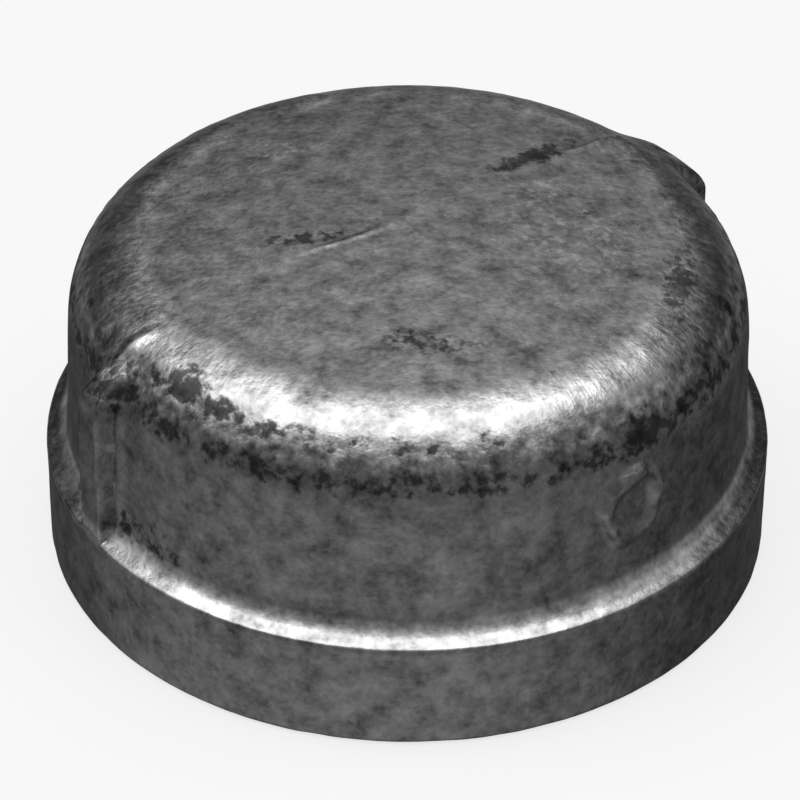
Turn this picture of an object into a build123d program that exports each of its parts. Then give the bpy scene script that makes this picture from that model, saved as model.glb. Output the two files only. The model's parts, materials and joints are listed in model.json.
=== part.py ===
from build123d import *
from math import asin, cos, degrees, radians, sin, sqrt, tan
import os

# Banded malleable-iron pipe cap, NPS 2, with a female NPT thread.
#
# The cap is one casting: a heavy band round the open mouth, a plain drafted wall, a rounded shoulder and
# a slightly domed end. Two short ribs stand on the wall where the two halves of the mould met.
# It is one node because a real cap is one piece of metal, and it has no moving parts.
#
# Millimetres, +Z up. The origin is the centre of the open mouth, on the face that the cap stands on.

# Outside of the casting
band_diameter = 75.3  # the standard's outside diameter for NPS 2
cap_height = 36.8  # the standard's height for NPS 2, over the flash
band_height = 12.0  # mouth face to the rim
ledge_width = 2.3  # how far the band stands out from the foot of the wall
ledge_slope = 25.0  # degrees, falling outwards so that the pattern draws
cove_radius = 2.6  # root of the ledge
wall_draft = 2.0  # degrees
shoulder_radius = 8.7
dome_radius = 300.0  # the closed end is very slightly crowned
mouth_edge = 0.8  # rounding at the foot of the band
rim_edge = 0.35  # rounding at the top of the band

# Inside of the casting
wall_thickness = 4.4
chamber_draft = 1.5  # degrees
chamber_corner = 5.0
chamber_lead = 2.2  # height of the sloping step from the bore to the chamber

# NPT thread, 11 1/2 turns to the inch, cut by a taper tap in a straight hole
thread_pitch = 25.4 / 11.5
thread_depth = 0.8 * thread_pitch
pitch_diameter = 58.325  # at the mouth
thread_end = 21.5  # where the bore opens into the chamber
thread_taper = 1 / 32  # on the radius
thread_half_angle = 30.0  # degrees
root_flat = 0.08
countersink = 2.3  # depth of the 45 degree lead-in

# Ribs, as angles from +X about +Z
front_rib_angle = -148.4
front_rib_width = 4.2
back_rib_angle = 38.5
back_rib_width = 8.0  # wider, as it also carries the stub of the gate
front_rib_height = 29.4  # top of the outer face
back_rib_height = 30.3
rib_slope_reach = 6.2  # how far in the sloping top runs before it is inside the shoulder
rib_slope_rise = 3.6
rib_corner = 3.0  # rounding where the outer face turns into the sloping top
rib_edge = 0.7  # rounding down both sides of the outer face
rib_setback = 0.12  # the outer face stands just inside the band's

# Parting-line flash across the closed end
flash_angle = 36.0
flash_width = 0.7
flash_height = 0.22
flash_reach = 26.0

# Raised foundry pad, left blank
pad_angle = -51.0
pad_height = 22.3
pad_length = 10.4
pad_width = 8.2
pad_rise = 0.7
pad_dimple = 0.35
pad_border = 1.6
pad_edge = 0.3

# Worked out from the sizes above
band_radius = band_diameter / 2
foot_radius = band_radius - ledge_width
foot_height = band_height + ledge_width * tan(radians(ledge_slope))
dome_top = cap_height - flash_height
top_radius = foot_radius - (dome_top - foot_height) * tan(radians(wall_draft))
dome_angle = degrees(asin(top_radius / dome_radius))
bore_radius = (pitch_diameter - thread_depth) / 2
root_radius = (pitch_diameter + thread_depth) / 2
mouth_radius = bore_radius + countersink
chamber_radius = foot_radius - wall_thickness
ceiling_height = dome_top - wall_thickness
ceiling_radius = chamber_radius - (ceiling_height - thread_end) * tan(radians(chamber_draft))
ceiling_angle = degrees(asin(ceiling_radius / dome_radius))


def radial_plane(angle):
    """A vertical plane through the axis, with its x running outwards at this angle and its y up."""
    outwards = (cos(radians(angle)), sin(radians(angle)), 0)
    across = (sin(radians(angle)), -cos(radians(angle)), 0)
    return Plane(origin=(0, 0, 0), x_dir=outwards, z_dir=across)


# The tool that cuts the thread: a V ridge on a narrower shank, wound down the tapering root line
shank_half_width = 1.0
ridge_height = (shank_half_width - root_flat / 2) / tan(radians(thread_half_angle))
shank_depth = 3.2  # well into the open bore
ridge_top = thread_end + thread_pitch
ridge_length = ridge_top + 1.5 * thread_pitch
ridge_top_radius = root_radius - thread_taper * ridge_top

with BuildPart() as thread_cutter:
    with BuildLine() as root_line:
        Helix(
            thread_pitch,
            ridge_length,
            ridge_top_radius,
            center=(0, 0, ridge_top),
            direction=(0, 0, -1),
            cone_angle=degrees(thread_taper),
        )
    ridge_start = root_line.line @ 0
    ridge_outwards = Vector(ridge_start.X, ridge_start.Y, 0)
    with BuildSketch(Plane(ridge_start, x_dir=ridge_outwards, z_dir=root_line.line % 0)) as ridge:
        with BuildLine():
            Polyline(
                (0, root_flat / 2),
                (-ridge_height, shank_half_width),
                (-shank_depth, shank_half_width),
                (-shank_depth, -shank_half_width),
                (-ridge_height, -shank_half_width),
                (0, -root_flat / 2),
                close=True,
            )
        make_face()
    sweep(path=root_line.line, is_frenet=True)

# The two ribs, in line with the band, with tops that slope up into the shoulder
rib_radius = band_radius - rib_setback
rib_root = band_radius - rib_slope_reach
rib_foot = band_height - 2 * rim_edge
ribs = []
for rib_angle, rib_width, rib_height in (
    (front_rib_angle, front_rib_width, front_rib_height),
    (back_rib_angle, back_rib_width, back_rib_height),
):
    with BuildPart() as rib:
        with BuildSketch() as rib_plan:
            Circle(rib_radius)
            with Locations((rib_radius, 0)):
                Rectangle(2 * (rib_radius - rib_root), rib_width, mode=Mode.INTERSECT)
            fillet(rib_plan.vertices().sort_by(Axis.X)[-2:], rib_edge)
        extrude(amount=cap_height)
        with BuildSketch(Plane.XZ) as rib_side:
            with BuildLine():
                Polyline(
                    (rib_radius, rib_foot),
                    (rib_radius, rib_height),
                    (rib_root, rib_height + rib_slope_rise),
                    (rib_root, rib_foot),
                    close=True,
                )
            make_face()
            fillet(rib_side.vertices().sort_by_distance((rib_radius, rib_height))[0], rib_corner)
        extrude(amount=rib_width, both=True, mode=Mode.INTERSECT)
    ribs.append(rib.part.rotate(Axis.Z, rib_angle))

# The blank foundry pad, an oval with a dished middle, standing square to the drafted wall
pad_reach = foot_radius - (pad_height - foot_height) * tan(radians(wall_draft)) + pad_rise
pad_side = radial_plane(pad_angle)
pad_face = Plane(
    pad_side.from_local_coords((pad_reach, pad_height)), x_dir=-pad_side.z_dir, z_dir=pad_side.x_dir
).rotated((-wall_draft, 0, 0))
with BuildPart() as pad:
    with BuildSketch(pad_face):
        Ellipse(pad_width / 2, pad_length / 2)
    extrude(amount=-3 * pad_rise)
    fillet(pad.faces().sort_by_distance(pad_face.origin)[0].edges(), pad_edge)
    with BuildSketch(pad_face):
        Ellipse(pad_width / 2 - pad_border, pad_length / 2 - pad_border)
    extrude(amount=-pad_dimple, mode=Mode.SUBTRACT)

with BuildPart() as cap_casting:
    # The outside, turned about the axis
    with BuildSketch(Plane.XZ) as outside:
        with BuildLine():
            dome = JernArc((0, dome_top), (1, 0), dome_radius, -dome_angle)
            Polyline(
                dome @ 1,
                (foot_radius, foot_height),
                (band_radius, band_height),
                (band_radius, 0),
                (0, 0),
                dome @ 0,
            )
        make_face()
        fillet(outside.vertices().sort_by_distance(dome @ 1)[0], shoulder_radius)
        fillet(outside.vertices().sort_by_distance((foot_radius, foot_height))[0], cove_radius)
        fillet(outside.vertices().sort_by_distance((band_radius, band_height))[0], rim_edge)
        fillet(outside.vertices().sort_by_distance((band_radius, 0))[0], mouth_edge)
    revolve(axis=Axis.Z)

    # The ribs, the pad, and the parting-line flash over the closed end
    add(ribs)
    add(pad.part)
    with BuildSketch(radial_plane(flash_angle)) as flash_section:
        with BuildLine():
            flash_drop = dome_radius - sqrt(dome_radius**2 - flash_reach**2)
            crest = ThreePointArc(
                (-flash_reach, cap_height - flash_drop),
                (0, cap_height),
                (flash_reach, cap_height - flash_drop),
            )
            Polyline(crest @ 1, (flash_reach, ceiling_height + 2), (-flash_reach, ceiling_height + 2), crest @ 0)
        make_face()
    extrude(amount=flash_width / 2, both=True)

    # The inside: lead-in, bore, and the cored chamber behind it
    with BuildSketch(Plane.XZ) as inside:
        with BuildLine():
            ceiling = JernArc((0, ceiling_height), (1, 0), dome_radius, -ceiling_angle)
            Polyline(
                ceiling @ 1,
                (chamber_radius, thread_end + chamber_lead),
                (bore_radius, thread_end),
                (bore_radius, countersink),
                (mouth_radius, 0),
                (0, 0),
                ceiling @ 0,
            )
        make_face()
        fillet(inside.vertices().sort_by_distance(ceiling @ 1)[0], chamber_corner)
        fillet(inside.vertices().sort_by_distance((chamber_radius, thread_end + chamber_lead))[0], 1)
    revolve(axis=Axis.Z, mode=Mode.SUBTRACT)

    # The thread
    add(thread_cutter.part, mode=Mode.SUBTRACT)

cap_casting.part.label = "cap_casting"

os.makedirs("parts", exist_ok=True)
export_step(cap_casting.part, "parts/cap_casting.step")
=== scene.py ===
import json
from math import asin, atan2, ceil, cos, hypot, pi, radians, sin, sqrt, tan

import bmesh
import bpy
import numpy as np
from mathutils import Matrix, Vector


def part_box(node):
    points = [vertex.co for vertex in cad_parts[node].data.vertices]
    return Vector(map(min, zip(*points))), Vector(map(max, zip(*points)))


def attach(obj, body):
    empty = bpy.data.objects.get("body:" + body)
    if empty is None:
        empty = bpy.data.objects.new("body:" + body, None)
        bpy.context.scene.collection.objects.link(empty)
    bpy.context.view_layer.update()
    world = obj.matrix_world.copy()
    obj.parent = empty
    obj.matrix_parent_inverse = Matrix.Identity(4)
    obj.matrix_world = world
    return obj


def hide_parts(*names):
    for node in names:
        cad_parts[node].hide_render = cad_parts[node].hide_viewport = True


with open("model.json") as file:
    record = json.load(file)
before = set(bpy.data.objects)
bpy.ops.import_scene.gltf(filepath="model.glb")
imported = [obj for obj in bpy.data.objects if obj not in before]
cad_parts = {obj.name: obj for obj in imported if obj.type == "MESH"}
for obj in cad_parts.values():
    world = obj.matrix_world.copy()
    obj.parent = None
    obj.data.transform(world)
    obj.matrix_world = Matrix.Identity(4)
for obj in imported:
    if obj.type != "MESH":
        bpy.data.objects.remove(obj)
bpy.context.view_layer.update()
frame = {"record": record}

# ---------------------------------------------------------------- sizes, in millimetres
MM = 0.001
low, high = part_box("cap_casting")
mounts = {mount["name"]: mount for mount in frame["record"]["mounts"]}
thread = mounts["pipe_thread"]

# The outside
band_radius = (high[0] - low[0]) / 2 / MM
cap_height = (high[2] - low[2]) / MM
band_height = 12.0
ledge_width = 2.3
ledge_slope = radians(25)
cove_radius = 2.6
wall_draft = radians(2)
shoulder_radius = 8.7
dome_radius = 300.0
mouth_edge = 0.8
rim_edge = 0.35

# The chamber
wall_thickness = 4.4
chamber_draft = radians(1.5)
chamber_corner = 5.0
chamber_lead = 2.2

# The NPT thread, 11 1/2 turns to the inch, behind a 45 degree lead-in
thread_pitch = 25.4 / 11.5
thread_taper = 1 / 32
thread_half_angle = radians(30)
thread_root = 0.04  # half the flat at the bottom of the groove
bore_radius = thread["dims"]["r_mm"]
countersink = thread["pos_m"][2] / MM
thread_end = countersink + thread["dims"]["length_mm"]
thread_top = thread_end + chamber_lead
thread_depth = 0.8 * thread_pitch
root_radius = bore_radius + thread_depth
mouth_radius = bore_radius + countersink

# The casting's skin lies this far inside the CAD surface, which leaves room for its lumps
skin_depth = 0.08

# Ribs as (angle from +X about +Z, width, top of the outer face)
ribs = ((radians(-148.4), 4.2, 29.4), (radians(38.5), 8.0, 30.3))
rib_setback = 0.12  # the outer face stands just inside the band's
rib_radius = band_radius - skin_depth - rib_setback
rib_slope = 3.6 / 6.2  # of the sloping top, rise over run
rib_corner = 4.5  # rounding where the outer face turns into the sloping top
rib_foot = 1.3  # how far the foot of each side spreads on the wall

# The raised foundry pad
pad_angle = radians(-51)
pad_height = 22.3
pad_size = (8.2, 10.4)  # across and up
pad_rise = 0.7

# The parting line wanders over the dome, in a frame turned to the ribs
flash_angle = radians(36)
flash_width = 0.3
flash_height = 0.22

# Worked out from the sizes above
dome_top = cap_height - flash_height
foot_radius = band_radius - ledge_width
foot_height = band_height + ledge_width * tan(ledge_slope)
top_radius = foot_radius - (dome_top - foot_height) * tan(wall_draft)
chamber_radius = foot_radius - wall_thickness
ceiling_height = dome_top - wall_thickness


# ---------------------------------------------------------------- noise
class Noise:
    """Seeded gradient noise over an array of points, about -1 to 1."""

    gain = 1.6

    def __init__(self, seed):
        rng = np.random.default_rng(seed)
        self.order = np.tile(rng.permutation(256), 3)
        ways = rng.normal(size=(256, 3))
        self.ways = ways / np.linalg.norm(ways, axis=1)[:, None]

    def __call__(self, points, size):
        """size is the length of one lump, one number or one for each axis."""
        places = np.asarray(points, float) / np.asarray(size, float)
        cell = np.floor(places).astype(int)
        inside = places - cell
        smooth = inside**3 * (inside * (inside * 6 - 15) + 10)
        total = np.zeros(len(places))
        for corner in np.ndindex(2, 2, 2):
            x, y, z = ((cell + corner) % 256).T
            way = self.ways[self.order[self.order[self.order[x] + y] + z]]
            weight = np.prod(np.where(corner, smooth, 1 - smooth), axis=1)
            total += weight * np.einsum("ij,ij->i", way, inside - corner)
        return total * self.gain

    def layers(self, points, size, count, fade=0.5):
        """Several sizes of noise added up, each half as large as the last."""
        total = np.zeros(len(points))
        for k in range(count):
            total += fade**k * self(np.asarray(points) + 17.3 * k, np.asarray(size, float) / 2**k)
        return total


def ease(low_edge, high_edge, value):
    """0 below low_edge, 1 above high_edge, smooth between."""
    t = np.clip((value - low_edge) / (high_edge - low_edge), 0, 1)
    return t * t * (3 - 2 * t)


def apart(angle, other):
    """The signed difference of two angles, from -pi to pi."""
    return (angle - other + pi) % (2 * pi) - pi


# ---------------------------------------------------------------- the meridian
def corner_arc(before, corner, after, radius, step):
    """The points of an arc that rounds a corner of an outline, from the first side to the second."""
    before, corner, after = (np.array(p, float) for p in (before, corner, after))
    first = (before - corner) / np.linalg.norm(before - corner)
    second = (after - corner) / np.linalg.norm(after - corner)
    half = np.arccos(np.clip(first @ second, -1, 1)) / 2
    middle = (first + second) / np.linalg.norm(first + second)
    centre = corner + middle * radius / sin(half)
    start = corner + first * radius / tan(half) - centre
    end = corner + second * radius / tan(half) - centre
    turn = apart(atan2(end[1], end[0]), atan2(start[1], start[0]))
    count = max(3, int(abs(turn) * radius / step) + 1)
    angles = atan2(start[1], start[0]) + turn * np.linspace(0, 1, count)
    return centre + radius * np.column_stack([np.cos(angles), np.sin(angles)])


def fill(points, steps):
    """Adds points to each straight run of an outline so that none is longer than its step."""
    filled = [np.array(points[0], float)]
    for start, end, step in zip(points[:-1], points[1:], steps):
        start, end = np.array(start, float), np.array(end, float)
        count = max(1, int(np.ceil(np.linalg.norm(end - start) / step)))
        filled += [start + (end - start) * t for t in np.linspace(0, 1, count + 1)[1:]]
    return np.array(filled)


def dome_points(radius, apex, reach, step):
    """The arc of a shallow dome from its apex out to a reach."""
    count = int(reach / step)
    across = reach * np.linspace(0, 1, count + 1)
    return np.column_stack([across, apex - radius + np.sqrt(radius**2 - across**2)])


def outer_profile():
    """The outside meridian from the apex to the mouth face, as (radius, height)."""
    skin_top = dome_top - skin_depth
    dome_end = (top_radius, skin_top - dome_radius + sqrt(dome_radius**2 - top_radius**2))
    inwards = (0, dome_end[1] + top_radius * tan(asin(top_radius / dome_radius)))
    foot = (foot_radius, foot_height)
    rim = (band_radius - skin_depth, band_height)
    mouth = (band_radius - skin_depth, 0)
    shoulder = corner_arc(inwards, dome_end, foot, shoulder_radius, 0.36)
    cove = corner_arc(dome_end, foot, rim, cove_radius, 0.28)
    lip = corner_arc(foot, rim, mouth, rim_edge, 0.14)
    heel = corner_arc(rim, mouth, (0, 0), mouth_edge, 0.25)
    dome = dome_points(dome_radius, skin_top, shoulder[0][0], 0.62)
    wall = fill([shoulder[-1], cove[0]], [0.45])[1:-1]
    ledge = fill([cove[-1], lip[0]], [0.4])[1:-1]
    band = fill([lip[-1], heel[0]], [0.6])[1:-1]
    crown = blended(np.vstack([dome[:-1], shoulder, wall]), 1.1)
    return np.vstack([crown, cove, ledge, lip, band, heel])


def blended(points, spread):
    """The same outline with its changes of curvature spread out, held at its last point and on the axis."""
    length = np.concatenate([[0], np.cumsum(np.linalg.norm(np.diff(points, axis=0), axis=1))])
    step = 0.05
    fine = np.arange(0, length[-1], step)
    dense = np.column_stack([np.interp(fine, length, points[:, k]) for k in (0, 1)])
    way = np.arctan2(*np.diff(dense, axis=0).T[::-1])
    kernel = np.exp(-0.5 * (np.arange(-4 * spread, 4 * spread, step) / spread) ** 2)
    margin = len(kernel)
    before = 2 * way[0] - way[margin:0:-1]
    after = 2 * way[-1] - way[-2 : -margin - 2 : -1]
    padded = np.concatenate([before, way, after])
    way = np.convolve(padded, kernel / kernel.sum(), "same")[margin:-margin]
    moves = np.column_stack([np.cos(way), np.sin(way)]) * step
    run = np.vstack([[0, 0], np.cumsum(moves, axis=0)])
    run += dense[-1] - run[-1]
    run[:, 0] -= run[0, 0] * (1 - fine / fine[-1]) ** 2
    smooth = np.column_stack([np.interp(length, fine, run[:, k]) for k in (0, 1)])
    smooth[-1] = points[-1]
    return smooth


def chamber_profile():
    """The inside meridian from the end of the thread to the ceiling's apex."""
    start = (chamber_radius, thread_end + chamber_lead)
    top = chamber_radius - (ceiling_height - thread_end) * tan(chamber_draft)
    ceiling_end = (top, ceiling_height - dome_radius + sqrt(dome_radius**2 - top**2))
    inwards = (0, ceiling_end[1] + top * tan(asin(top / dome_radius)))
    corner = corner_arc(start, ceiling_end, inwards, chamber_corner, 0.9)
    side = fill([start, corner[0]], [1.0])[:-1]
    ceiling = dome_points(dome_radius, ceiling_height, corner[-1][0], 1.6)[::-1]
    return np.vstack([side, corner, ceiling[1:]])


# ---------------------------------------------------------------- the casting's outside
outer_columns = 560


def outer_angles():
    """Columns round the cap, closer together down the sides of the ribs and over the pad."""
    dense = np.linspace(-pi, pi, 24001)
    weight = np.ones_like(dense)
    for angle, width, _ in ribs:
        for side in (-1, 1):
            off = np.abs(apart(dense, angle + side * (width / 2 + 0.15) / band_radius)) * band_radius
            weight += 2.0 * ease(1.5, 0.7, off)
    weight += 0.45 * ease(6.0, 5.0, np.abs(apart(dense, pad_angle)) * band_radius)
    total = np.concatenate([[0], np.cumsum((weight[1:] + weight[:-1]) / 2)])
    return np.interp(np.arange(outer_columns) / outer_columns * total[-1], total, dense)


def soft_minimum(a, b, blend):
    overlap = np.maximum(blend - np.abs(a - b), 0) / blend
    return np.minimum(a, b) - overlap**2 * blend / 4


def add_ribs(angle, radius, height, spot, lumps, grain):
    """Brings the surface out to the two ribs, along the radius."""
    on_cap = ease(27.5, 29.5, radius)  # a rib runs in over the shoulder and stops short of the dome
    above_band = ease(band_height - 0.7, band_height, height)
    skin = 0.05 * lumps.layers(spot + 9, 3.4, 2) + 0.02 * grain(spot, 1.2)
    for centre, width, top in ribs:
        across = apart(angle, centre) * band_radius
        slope = rib_radius - (height - top) / rib_slope
        reach = soft_minimum(np.full_like(slope, rib_radius), slope, rib_corner) + skin
        edge = width / 2 + 0.12 * lumps(spot * (0.4, 0.4, 1) + 3, 2.8)
        soft = 0.35 + 1.1 * ease(28.5, 32, height)
        beyond = np.abs(across) - edge
        foot = 0.22 * np.exp(-((np.maximum(beyond, 0) / rib_foot) ** 2))
        cover = np.maximum(ease(soft, -soft, beyond), foot) * on_cap
        radius = radius + cover * np.maximum(0, reach - radius) * above_band
    return radius


def parting(points, noise):
    """The height of the parting-line flash, and which half of the mould a point is in, -1 to 1."""
    flat = points * (1, 1, 0)
    along = points[:, 0] * cos(flash_angle) + points[:, 1] * sin(flash_angle)
    across = points[:, 1] * cos(flash_angle) - points[:, 0] * sin(flash_angle)
    path = 3.0 - 1.5 * np.exp(-(((along + 2) / 8) ** 2)) + 0.3 * noise(flat, 4.0)
    off = across - path
    # Strong near the middle, weaker at the back, and only a trace between
    strength = np.exp(-(((along + 4.5) / 4.2) ** 2)) + 0.35 * ease(18, 22, along) + 0.04
    strength *= np.clip(0.8 + 0.8 * noise(flat + 5, 4.0), 0.2, 1)
    return strength * np.exp(-((off / flash_width) ** 2)), np.tanh(off / 0.5)


# Stains on the skin, and some painted glint, shade and sheen: where, how far they reach along and across,
# which way they run in degrees from +X, and how dark they are, or how pale if below zero
patches_and_painted_light = (
    ((12.2, 13.8, 35), 5.8, 1.2, 37, 1.5),
    # Painted shadow behind the parting line's flash
    ((-10.6, -1.8, 35), 4.0, 1.1, 12, 1.4),
    ((2.0, -19.0, 35), 4.8, 1.7, -10, 1.0),
    ((27.1, -7.2, 34.4), 5.2, 1.6, 80, 1.5),
    ((31.2, -7.8, 33), 1.6, 1.0, 65, 1.4),
    # Painted shade in the groove beside the back rib
    ((27.0, 21.5, 31.5), 4.0, 1.0, 38, 1.4),
    # Painted glint where the front rib's top meets the shoulder
    ((-27.2, -16.4, 33.3), 2.2, 0.7, 15, -1.6),
    ((-21.4, -22.8, 33.9), 2.1, 1.3, -60, 1.2),
    ((-17.6, -26.6, 33.4), 3.3, 0.6, -40, 1.0),
    ((-28.0, -18.8, 31.2), 2.0, 1.5, -50, 0.9),
    ((22.7, -25.6, 30.3), 2.6, 1.4, 45, 0.8),
    # Painted shade in the gouge at the foot of the wall
    ((-26.0, -23.2, 14.4), 4.6, 0.8, -48, 0.9),
    ((-13.0, 15.0, 35), 3.8, 2.4, 0, -0.5),
    ((13.0, 7.5, 35), 3.0, 2.2, 30, -0.5),
    # Painted sheen: a broad pale patch over the right of the dome
    ((16.0, -1.0, 35), 10.0, 8.0, 10, -0.42),
)


# Ridges and gouges: where, how far along and across, which way they run, and how high
dents = (
    ((-27.2, -16.4, 33.3), 2.6, 0.7, 15, 0.32),
    ((-26.0, -23.2, 14.4), 4.6, 0.6, -48, -0.25),
    ((27.0, 21.0, 31.5), 4.5, 0.8, 38, -0.45),
    ((12.2, 13.8, 35), 5.0, 0.8, 37, -0.10),
    ((-10.8, -2.0, 35), 3.0, 0.6, 10, -0.10),
)


def smudge(spot, place, along, across, turned):
    """1 at a place, fading away along and across a direction."""
    away = spot - place
    run = away[:, 0] * cos(radians(turned)) + away[:, 1] * sin(radians(turned))
    side = away[:, 1] * cos(radians(turned)) - away[:, 0] * sin(radians(turned))
    return np.exp(-((run / along) ** 2) - (side / across) ** 2 - (away[:, 2] / 2.5) ** 2)


def stains_and_painted_light(spot, angle, noise):
    """How stained the skin is, with its painted glint and shade, from about -1, bright, to 1, black."""
    total = np.zeros(len(spot))
    for *where, depth in patches_and_painted_light:
        total += depth * smudge(spot, *where)

    # Two ragged lines of pits where the shoulder turns down into the wall, the upper one only at the front:
    # their darkness is partly the pits and partly painted shade under the shoulder
    outside = ease(28, 31, np.hypot(spot[:, 0], spot[:, 1]))
    level = spot[:, 2] - 0.8 * noise(spot, 7.0)
    lower = np.exp(-(((level - 29.5) / 1.3) ** 2)) * (0.75 + 0.6 * noise(spot + 70, 4.0))
    upper = np.exp(-(((level - 32.6) / 0.8) ** 2)) * (0.55 + 0.7 * noise(spot + 90, 3.0))
    front = ease(radians(50), radians(25), np.abs(apart(angle, radians(-110))))
    return total + outside * (np.clip(lower, 0, 1) + front * np.clip(upper, 0, 1))


def outer_surface():
    """Points of the outside, row by row from the apex, with the casting's shape and texture."""
    profile = outer_profile()
    angles = outer_angles()
    tangent = np.gradient(profile, axis=0)
    tangent /= np.linalg.norm(tangent, axis=1)[:, None]
    radius, height = (np.repeat(profile[:, k], outer_columns) for k in (0, 1))
    out_r, out_z = (np.repeat(way, outer_columns) for way in (-tangent[:, 1], tangent[:, 0]))
    angle = np.tile(angles, len(profile))
    spot = np.column_stack([radius * np.cos(angle), radius * np.sin(angle), height])

    shape, lumps, grain = Noise(3), Noise(11), Noise(29)
    on_wall = ease(foot_height + 0.5, foot_height + 2.5, height) * ease(-0.2, 0.6, out_r)
    on_band = ease(band_height + 0.5, band_height - 0.5, height)

    # Slow waves of the pattern, then lumps of the sand, which are coarse in a belt under the shoulder
    belt = np.exp(-(((height - 31.6) / 1.4) ** 2)) * ease(28, 30, radius)
    rise = 0.10 * shape(spot, 26.0) * (1 - 0.5 * on_band)
    rise += 0.05 * lumps.layers(spot, 5.2, 2)
    rise += 0.018 * grain.layers(spot, 1.7, 2, 0.6)
    rise += 0.12 * belt * grain.layers(spot + 20, 1.9, 2, 0.6)

    # Dents, and the parting line, where one half of the mould stood a little higher than the other
    for *where, raised in dents:
        rise += raised * smudge(spot, *where)
    flash, half = parting(spot, lumps)
    rise += ease(27, 31, height) * (0.33 * flash + 0.02 * half)

    # The pad, with a soft border and a dished middle
    across = apart(angle, pad_angle) * foot_radius / (pad_size[0] / 2)
    up = (height - pad_height) / (pad_size[1] / 2)
    spread = np.hypot(across, up * 1.08) * (1 + 0.12 * lumps(spot, 2.6))
    pad = ease(1.05, 0.84, spread) * (1 - 0.7 * ease(0.72, 0.48, spread))
    rise += on_wall * pad * pad_rise * (1.15 + 0.6 * lumps(spot + 40, 2.4))

    radius = radius + rise * out_r
    height = height + rise * out_z
    radius = add_ribs(angle, radius, height, spot, lumps, grain)
    radius = np.minimum(radius, band_radius)
    height = np.clip(height, 0, cap_height)
    points = np.column_stack([radius * np.cos(angle), radius * np.sin(angle), height])
    marks = stains_and_painted_light(spot, angle, lumps)
    return points.reshape(len(profile), outer_columns, 3), marks.reshape(len(profile), outer_columns)


# ---------------------------------------------------------------- the thread and the chamber
inner_columns = 128


def thread_surface():
    """The lead-in, the thread and the step into the chamber, on lines that are wound up the helix."""
    crest = thread_root + thread_depth * tan(thread_half_angle)
    flank = np.linspace(thread_root, crest, 4)
    offsets = np.concatenate([-flank[::-1], flank])
    turns = np.arange(-2, ceil(thread_top / thread_pitch) + 1)
    lines = (turns[:, None] * thread_pitch + offsets).ravel()
    around = np.linspace(0, 2 * pi, inner_columns, endpoint=False)
    climb = thread_pitch * around / (2 * pi)
    height = np.clip(lines[:, None] + climb, 0, thread_top)
    off = np.abs((height - climb + thread_pitch / 2) % thread_pitch - thread_pitch / 2)
    groove = root_radius - thread_taper * height - np.maximum(0, off - thread_root) / tan(thread_half_angle)
    step = bore_radius + (height - thread_end) * (chamber_radius - bore_radius) / chamber_lead
    bore = np.full_like(groove, bore_radius)
    radius = np.maximum.reduce([groove, bore, mouth_radius - height, step])
    return np.dstack([radius * np.cos(around), radius * np.sin(around), height]), len(offsets)


def chamber_surface():
    """Rows from the top of the step to the middle of the ceiling."""
    profile = chamber_profile()
    around = np.linspace(0, 2 * pi, inner_columns, endpoint=False)
    points = np.array([[(r * cos(a), r * sin(a), z) for a in around] for r, z in profile])
    rough = 0.09 * Noise(41).layers(points.reshape(-1, 3), 3.4, 3).reshape(points.shape[:2])
    rough *= ease(thread_top, thread_top + 1.5, points[:, :, 2])
    away = points - (0, 0, ceiling_height - 8)  # the roughness stands out from a point under the ceiling
    away /= np.linalg.norm(away, axis=2)[:, :, None]
    return points + away * rough[:, :, None]


# ---------------------------------------------------------------- the mesh
CAST, CUT = 0, 1


class Shell:
    """Rings of points, and the faces between them."""

    def __init__(self):
        self.points, self.faces, self.marks, self.stain = [], [], [], []

    def ring(self, row, stain=None):
        first = len(self.points)
        self.points += [tuple(map(float, p)) for p in row]
        self.stain += [0.0] * len(row) if stain is None else [float(value) for value in stain]
        return list(range(first, len(self.points)))

    def face(self, corners, mark):
        """Keeps each corner once, so that a face may come in folded."""
        corners = [c for k, c in enumerate(corners) if c != corners[k - 1]]
        if len(set(corners)) == len(corners) > 2:
            self.faces.append(corners)
            self.marks.append(mark)

    def strip(self, upper, lower, mark):
        """Faces between two rings, the lower of which may have two points for each of the upper's."""
        ratio = len(lower) // len(upper)
        for k, corner in enumerate(upper):
            following = upper[(k + 1) % len(upper)]
            run = [lower[(k * ratio + n) % len(lower)] for n in range(ratio + 1)]
            if ratio == 1:
                self.face([corner, run[0], run[1], following], mark)
            else:
                self.face([corner, run[0], run[1]], mark)
                self.face([corner, run[1], following], mark)
                self.face([following, run[1], run[2]], mark)

    def lace(self, outer, inner, mark):
        """Triangles between two level rings whose points don't line up."""

        def placed(ring):
            at = [atan2(self.points[k][1], self.points[k][0]) % (2 * pi) for k in ring]
            order = sorted(range(len(ring)), key=at.__getitem__)
            names = [ring[k] for k in order]
            places = [at[k] for k in order]
            return names + names[:1], places + [places[0] + 2 * pi]

        (outer, outer_at), (inner, inner_at) = placed(outer), placed(inner)
        i = j = 0
        while i < len(outer) - 1 or j < len(inner) - 1:
            if j == len(inner) - 1 or (i < len(outer) - 1 and outer_at[i + 1] <= inner_at[j + 1]):
                self.face([outer[i], inner[j], outer[i + 1]], mark)
                i += 1
            else:
                self.face([outer[i], inner[j], inner[j + 1]], mark)
                j += 1


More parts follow.
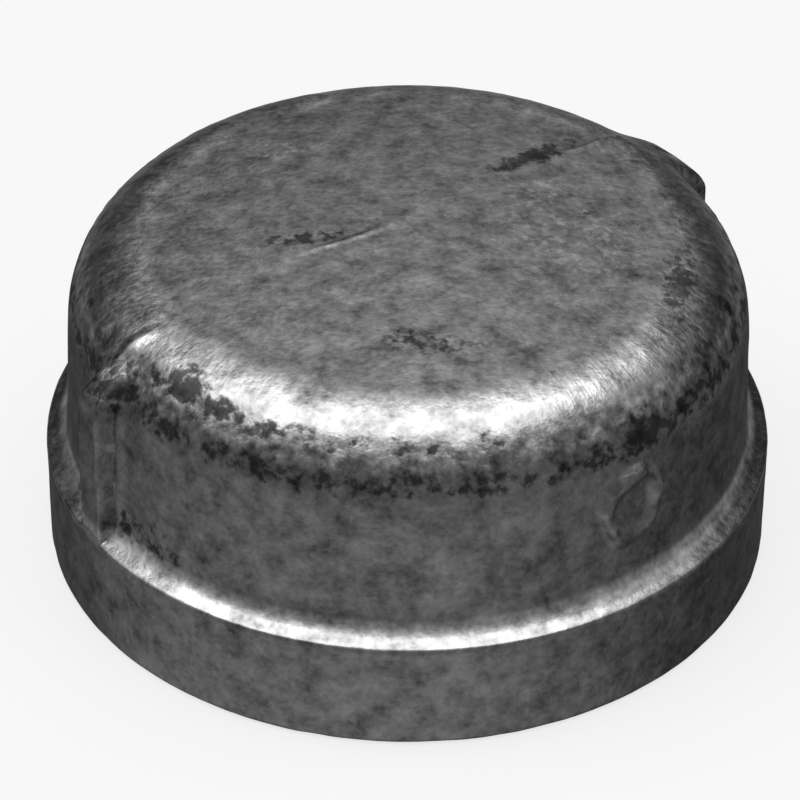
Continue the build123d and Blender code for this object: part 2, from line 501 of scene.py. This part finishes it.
def build_cap():
    shell = Shell()

    # The outside, with fewer columns near the middle of the dome
    rings = []
    for row, stain in zip(*outer_surface()):
        reach = hypot(row[0][0], row[0][1])
        every = outer_columns if reach < 0.1 else 4 if reach < 5 else 2 if reach < 13 else 1
        rings.append(shell.ring(row[::every], stain[::every]))
    tip, rings = rings[0][0], rings[1:]
    for k, corner in enumerate(rings[0]):
        shell.face([tip, corner, rings[0][(k + 1) % len(rings[0])]], CAST)
    for upper, lower in zip(rings, rings[1:]):
        shell.strip(upper, lower, CAST)

    # The thread: what the helix runs past at each end is gathered into one ring
    lines, per_turn = thread_surface()
    foot = shell.ring(lines[0])
    top = shell.ring(lines[-1])
    grid = []
    for line in lines:
        names = shell.ring(line)
        for k, point in enumerate(line):
            if point[2] <= 0:
                names[k] = foot[k]
            elif point[2] >= thread_top:
                names[k] = top[k]
        grid.append(names)

    def at(line, column):
        line += per_turn * (column // inner_columns)
        return grid[line][column % inner_columns] if line < len(grid) else top[column % inner_columns]

    for line in range(len(grid) - 1):
        for column in range(inner_columns):
            corners = [(line, column), (line + 1, column), (line + 1, column + 1), (line, column + 1)]
            shell.face([at(*corner) for corner in corners], CUT)
    shell.lace(rings[-1], foot, CUT)

    # The chamber
    rows = chamber_surface()
    below = top
    for row in rows[1:-1]:
        above = shell.ring(row)
        shell.strip(below, above, CAST)
        below = above
    tip = shell.ring(rows[-1][:1])[0]
    for k, corner in enumerate(below):
        shell.face([tip, corner, below[(k + 1) % len(below)]], CAST)
    return shell


def to_object(shell, name):
    """A smooth-shaded Blender object, sharp only at its real edges, which carries the stains and painted
    light.
    """
    mesh = bpy.data.meshes.new(name)
    mesh.from_pydata([Vector(p) * MM for p in shell.points], [], shell.faces)
    mesh.polygons.foreach_set("material_index", shell.marks)
    mesh.attributes.new("stain", "FLOAT", "POINT").data.foreach_set("value", shell.stain)
    piece = bpy.data.objects.new(name, mesh)
    bpy.context.scene.collection.objects.link(piece)
    work = bmesh.new()
    work.from_mesh(mesh)
    bmesh.ops.delete(work, geom=[v for v in work.verts if not v.link_faces], context="VERTS")
    bmesh.ops.recalc_face_normals(work, faces=work.faces)
    work.to_mesh(mesh)
    work.free()
    mesh.polygons.foreach_set("use_smooth", [True] * len(mesh.polygons))
    mesh.set_sharp_from_angle(angle=radians(42))
    mesh.update()
    return piece


cap = to_object(build_cap(), "cap_shell")


# ---------------------------------------------------------------- materials
class Nodes:
    """Adds nodes to a tree, and links or sets their inputs by name."""

    def __init__(self, tree):
        self.tree = tree

    def add(self, kind, inputs=None, output=0, **settings):
        """The named output of a new node, or the node itself if it has no outputs."""
        node = self.tree.nodes.new(kind)
        for key, value in settings.items():
            setattr(node, key, value)
        for key, value in (inputs or {}).items():
            self.set(node.inputs[key], value)
        return node.outputs[output] if node.outputs else node

    def set(self, socket, value):
        if isinstance(value, bpy.types.NodeSocket):
            self.tree.links.new(value, socket)
        else:
            socket.default_value = value

    def math(self, operation, a, b=0.0, c=0.0):
        return self.add("ShaderNodeMath", {0: a, 1: b, 2: c}, operation=operation)

    def split(self, vector):
        """The X, Y and Z of a vector."""
        parts = self.add("ShaderNodeSeparateXYZ", {0: vector}).node.outputs
        return parts["X"], parts["Y"], parts["Z"]

    def mix(self, share, a, b):
        """a where the share is 0, b where it is 1."""
        return self.add("ShaderNodeMix", {"Factor": share, "A": a, "B": b}, data_type="FLOAT")

    def grey(self, tone, blue=1.0):
        colour = {0: tone, 1: tone, 2: self.math("MULTIPLY", tone, blue)}
        return self.add("ShaderNodeCombineColor", colour)

    def noise(self, vector, size, detail=2.0, rough=0.5):
        """Noise from 0 to 1, whose lumps are about this many millimetres."""
        inputs = {"Vector": vector, "Scale": 1 / (size * MM), "Detail": detail, "Roughness": rough}
        return self.add("ShaderNodeTexNoise", inputs)

    def about(self, base, noise, amount):
        """base, moved up and down by a noise."""
        return self.math("MULTIPLY_ADD", self.math("SUBTRACT", noise, 0.5), amount, base)

    def raised(self, base, mask, gain):
        """base, and 1 + gain times as much where the mask is 1."""
        return self.math("MULTIPLY", base, self.math("MULTIPLY_ADD", mask, gain, 1.0))

    def ramp(self, value, start, end, to_low=0.0, to_high=1.0):
        """Smooth from to_low at start to to_high at end."""
        inputs = {"Value": value, "From Min": start, "From Max": end, "To Min": to_low, "To Max": to_high}
        return self.add("ShaderNodeMapRange", inputs, interpolation_type="SMOOTHSTEP")

    def zone(self, value, bottom, top):
        """1 between two slopes, each given as where it is 0 and where it is 1."""
        return self.math("MULTIPLY", self.ramp(value, *bottom), self.ramp(value, *top))


def new_material(name):
    material = bpy.data.materials.new(name)
    material.use_nodes = True
    material.node_tree.nodes.clear()
    nodes = Nodes(material.node_tree)
    shader = material.node_tree.nodes.new("ShaderNodeBsdfPrincipled")
    output = nodes.add("ShaderNodeOutputMaterial", {"Surface": shader.outputs[0]})
    return material, nodes, shader, output


def across_and_up(n):
    """The place on the object, its part across the axis, its distance from the axis, and its height."""
    place = n.add("ShaderNodeTexCoord", output="Object")
    x, y, z = n.split(place)
    flat = n.add("ShaderNodeCombineXYZ", {0: x, 1: y})
    reach = n.add("ShaderNodeVectorMath", {0: flat}, "Value", operation="LENGTH")
    return place, flat, reach, z


# Zones of the skin by height in millimetres, as two slopes, each from where it is 0 to where it is 1
ledge_zone = ((11.5, 12.2), (14.6, 13.2))
cove_zone = ((12.5, 13.0), (14.3, 13.6))
belt_zone = ((30.2, 31.2), (33.2, 32.2))
skin_tone = 0.295


def zinc_casting():
    """Galvanised malleable iron, as cast: a mottled grey skin with pits, streaks and stains, and with
    painted highlights, glint and shade.
    """
    material, n, shader, _ = new_material("zinc_casting")
    place, flat, reach, z = across_and_up(n)
    height = n.math("DIVIDE", z, MM)

    # Streaks that run up the wall and in over the shoulder: noise drawn out along the height
    around = n.add("ShaderNodeVectorMath", {0: flat}, operation="NORMALIZE")
    around = n.add("ShaderNodeVectorMath", {0: around, "Scale": foot_radius * MM}, operation="SCALE")
    up = n.add("ShaderNodeCombineXYZ", {2: n.math("MULTIPLY", z, 0.22)})
    drawn_out = n.add("ShaderNodeVectorMath", {0: around, 1: up}, operation="ADD")
    streak = n.noise(drawn_out, 0.7, 2.0, 0.6)
    streaked = n.math("MULTIPLY", n.ramp(reach, 22 * MM, 30 * MM), n.ramp(height, 16.0, 24.0))
    streak = n.math("MULTIPLY", n.math("SUBTRACT", streak, 0.5), streaked)

    # Mottle of three sizes
    cloud = n.noise(place, 10.0, 3.0, 0.6)
    mottle = n.noise(place, 2.6, 3.0, 0.6)
    speck = n.noise(place, 0.7, 3.0, 0.6)
    tone = n.about(skin_tone, cloud, 0.20)
    tone = n.about(tone, mottle, 0.62)
    tone = n.about(tone, speck, 0.34)
    tone = n.math("MULTIPLY_ADD", streak, 0.05, tone)

    # Stains, painted glint and painted shade, whose edges are more ragged where they are stronger
    stain = n.add("ShaderNodeAttribute", {}, "Fac", attribute_name="stain")
    edge = n.math("MULTIPLY", n.math("SUBTRACT", n.noise(place, 1.1, 2.0, 0.6), 0.5), 3.4)
    ragged = n.math("MULTIPLY_ADD", edge, n.ramp(n.math("ABSOLUTE", stain), 0.0, 0.35, 0.25, 1.0), stain)
    dark_patch_and_painted_shade = n.ramp(ragged, 0.2, 1.1)
    pale_patch_and_painted_light = n.ramp(ragged, -0.25, -0.8)
    tone = n.raised(tone, dark_patch_and_painted_shade, -0.78)
    tone = n.math("MULTIPLY_ADD", pale_patch_and_painted_light, 0.16, tone)

    # Painted highlight: the skin is painted brighter on the ledge and in its cove, all the way round
    ledge = n.zone(height, *ledge_zone)
    cove = n.zone(height, *cove_zone)
    painted_ledge_highlight = n.math("MULTIPLY_ADD", cove, 0.7, n.math("MULTIPLY", ledge, 0.45))
    tone = n.math("MULTIPLY", tone, n.math("ADD", painted_ledge_highlight, 1.0))

    # Painted highlight over the top of the shoulder; the belt under that gets a lumpy mottle, lighter on
    # the whole as a painted sheen
    painted_shoulder_highlight = n.math("MULTIPLY", n.ramp(reach, 25.0 * MM, 28.5 * MM), n.ramp(height, 32.4, 34.4))
    tone = n.raised(tone, painted_shoulder_highlight, 0.65)
    lumps = n.about(0.25, n.noise(place, 1.3, 2.0, 0.5), 3.0)
    tone = n.raised(tone, n.zone(height, *belt_zone), lumps)

    rough = n.math("MULTIPLY_ADD", speck, 0.20, 0.24)
    rough = n.math("MULTIPLY_ADD", dark_patch_and_painted_shade, 0.22, rough)
    rough = n.math("MULTIPLY_ADD", ledge, -0.06, rough)
    rough = n.math("MULTIPLY_ADD", cove, 0.10, rough)

    relief = n.math("MULTIPLY_ADD", mottle, 1.2, n.math("MULTIPLY", speck, 0.45))
    relief = n.math("MULTIPLY_ADD", streak, 0.32, relief)
    relief = n.math("MULTIPLY_ADD", dark_patch_and_painted_shade, -0.2, relief)
    relief = n.raised(relief, ledge, -0.4)

    shader.inputs["Metallic"].default_value = 1.0
    n.set(shader.inputs["Base Color"], n.grey(tone, 1.01))
    n.set(shader.inputs["Roughness"], rough)
    bump = n.add("ShaderNodeBump", {"Height": relief, "Strength": 1.0, "Distance": 0.10 * MM})
    n.set(shader.inputs["Normal"], bump)
    return material


def cut_thread():
    """The machined mouth face and thread: smooth grey, with fine turning marks."""
    material, n, shader, _ = new_material("cut_thread")
    place, _, reach, _ = across_and_up(n)
    turning_pitch = 0.22 * MM
    marks = n.math("SINE", n.math("MULTIPLY", reach, 2 * pi / turning_pitch))
    mottle = n.noise(place, 1.6, 3.0, 0.6)
    shader.inputs["Metallic"].default_value = 1.0
    n.set(shader.inputs["Base Color"], n.grey(n.math("MULTIPLY_ADD", mottle, 0.22, 0.30)))
    n.set(shader.inputs["Roughness"], n.math("MULTIPLY_ADD", mottle, 0.2, 0.24))
    bump = n.add("ShaderNodeBump", {"Height": marks, "Strength": 0.3, "Distance": 0.02 * MM})
    n.set(shader.inputs["Normal"], bump)
    return material


cap.data.materials.append(zinc_casting())
cap.data.materials.append(cut_thread())
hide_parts("cap_casting")
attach(cap, "root")


# ---------------------------------------------------------------- the floor
floor_reach = 6.0
floor_gap = 0.02 * MM  # keeps the floor off the mouth face, which stands on it


def pale_floor():
    """A pale matt floor with a little light of its own, clear from below."""
    material, n, shader, output = new_material("pale_floor")
    place = n.add("ShaderNodeTexCoord", output="Object")
    shade = n.add("ShaderNodeTexNoise", {"Vector": place, "Scale": 6.0})
    n.set(shader.inputs["Base Color"], n.grey(n.math("MULTIPLY_ADD", shade, 0.01, 0.20)))
    shader.inputs["Roughness"].default_value = 0.9
    shader.inputs["Specular IOR Level"].default_value = 0.0
    shader.inputs["Emission Color"].default_value = (1, 1, 1, 1)
    shader.inputs["Emission Strength"].default_value = 0.75
    below = n.add("ShaderNodeNewGeometry", output="Backfacing")
    clear = n.add("ShaderNodeBsdfTransparent")
    cover = n.add("ShaderNodeMixShader", {0: below, 1: shader.outputs[0], 2: clear})
    n.set(output.inputs["Surface"], cover)
    return material


def make_floor():
    mesh = bpy.data.meshes.new("floor")
    sides = ((-1, -1), (1, -1), (1, 1), (-1, 1))
    corners = [(x * floor_reach, y * floor_reach, -floor_gap) for x, y in sides]
    mesh.from_pydata(corners, [], [(0, 1, 2, 3)])
    floor = bpy.data.objects.new("floor", mesh)
    floor.data.materials.append(pale_floor())
    floor.visible_glossy = False
    bpy.context.scene.collection.objects.link(floor)


make_floor()


# ---------------------------------------------------------------- the light
def softbox(name, place, size, power):
    """A level area light that shines straight down."""
    light = bpy.data.lights.new(name, "AREA")
    light.shape = "RECTANGLE"
    light.size, light.size_y = size
    light.energy = power
    lamp = bpy.data.objects.new(name, light)
    lamp.location = place
    bpy.context.scene.collection.objects.link(lamp)


def studio_world():
    """Soft light from all round, as a strength for each direction. +Y is behind the cap."""
    world = bpy.data.worlds.new("studio")
    world.use_nodes = True
    world.node_tree.nodes.clear()
    w = Nodes(world.node_tree)
    x, y, z = w.split(w.add("ShaderNodeTexCoord", output="Generated"))

    # From above and behind, brighter with height, and dim off to each side
    back = w.math("ADD", w.ramp(z, 0.12, 0.62, 0.14, 0.56), w.ramp(z, 0.6, 0.95, 0.0, 0.4))
    aside = w.math("MULTIPLY", w.math("ABSOLUTE", w.math("SUBTRACT", x, 0.03)), w.math("SUBTRACT", 1.0, z))
    aside = w.math("MULTIPLY", aside, w.ramp(y, 0.2, 0.5))
    back = w.math("MULTIPLY", back, w.ramp(aside, 0.0, 0.18, 1.0, 0.12))

    # From above and in front, with a glow from each side, and a dim patch overhead
    front = w.ramp(z, 0.50, 0.92, 0.19, 0.7)
    upper = w.mix(w.ramp(y, 0.25, -0.35), back, front)
    side = w.ramp(w.math("ABSOLUTE", w.math("SUBTRACT", x, 0.08)), 0.68, 0.93, 0.0, 0.22)
    upper = w.math("MULTIPLY_ADD", side, w.ramp(z, 0.22, 0.42), upper)
    upper = w.math("MULTIPLY", upper, w.ramp(z, 0.90, 0.98, 1.0, 0.2))

    # From below, as off the floor, where it is darker behind the cap
    behind = w.ramp(w.math("MULTIPLY_ADD", x, 0.35, y), -0.8, 0.6, 0.0, 0.85)
    behind = w.math("MULTIPLY", behind, w.ramp(z, -0.35, -0.5))
    lower = w.math("MULTIPLY", w.ramp(z, -0.3, -0.68, 0.22, 0.42), w.math("SUBTRACT", 1.0, behind))
    light = w.mix(w.ramp(z, -0.25, 0.05), lower, upper)

    # The camera sees a plain pale ground instead
    plain = 0.94
    strength = w.mix(w.add("ShaderNodeLightPath", output="Is Camera Ray"), light, plain)
    background = w.add("ShaderNodeBackground", {"Color": (1, 1, 1, 1), "Strength": strength})
    w.add("ShaderNodeOutputWorld", {"Surface": background})
    return world


softbox("overhead", (-0.14, -0.07, 0.9), (1.32, 0.66), 6.0)
bpy.context.scene.world = studio_world()
bpy.context.scene.view_settings.view_transform = "Standard"


# ---------------------------------------------------------------- the camera
camera_target = Vector((0, 0, 15.06)) * MM
camera_distance = 451.8 * MM
camera_elevation = radians(36.4)
camera_roll = radians(0.46)
focal_length = 195.4  # millimetres, on a sensor of 36 mm
frame_shift = (-0.0096, -0.0025)


def make_camera():
    """Looks down at the middle of the cap from -Y, with a slight roll."""
    back = Vector((0, -cos(camera_elevation), sin(camera_elevation)))
    right = Vector((1, 0, 0))
    tilted = right * cos(camera_roll) + back.cross(right) * sin(camera_roll)
    turn = Matrix((tilted, back.cross(tilted), back)).transposed().to_4x4()
    lens = bpy.data.cameras.new("camera")
    lens.lens = focal_length
    lens.sensor_width = 36
    lens.shift_x, lens.shift_y = frame_shift
    lens.clip_start = 0.01
    camera = bpy.data.objects.new("camera", lens)
    camera.matrix_world = Matrix.Translation(camera_target + back * camera_distance) @ turn
    bpy.context.scene.collection.objects.link(camera)
    bpy.context.scene.camera = camera


make_camera()
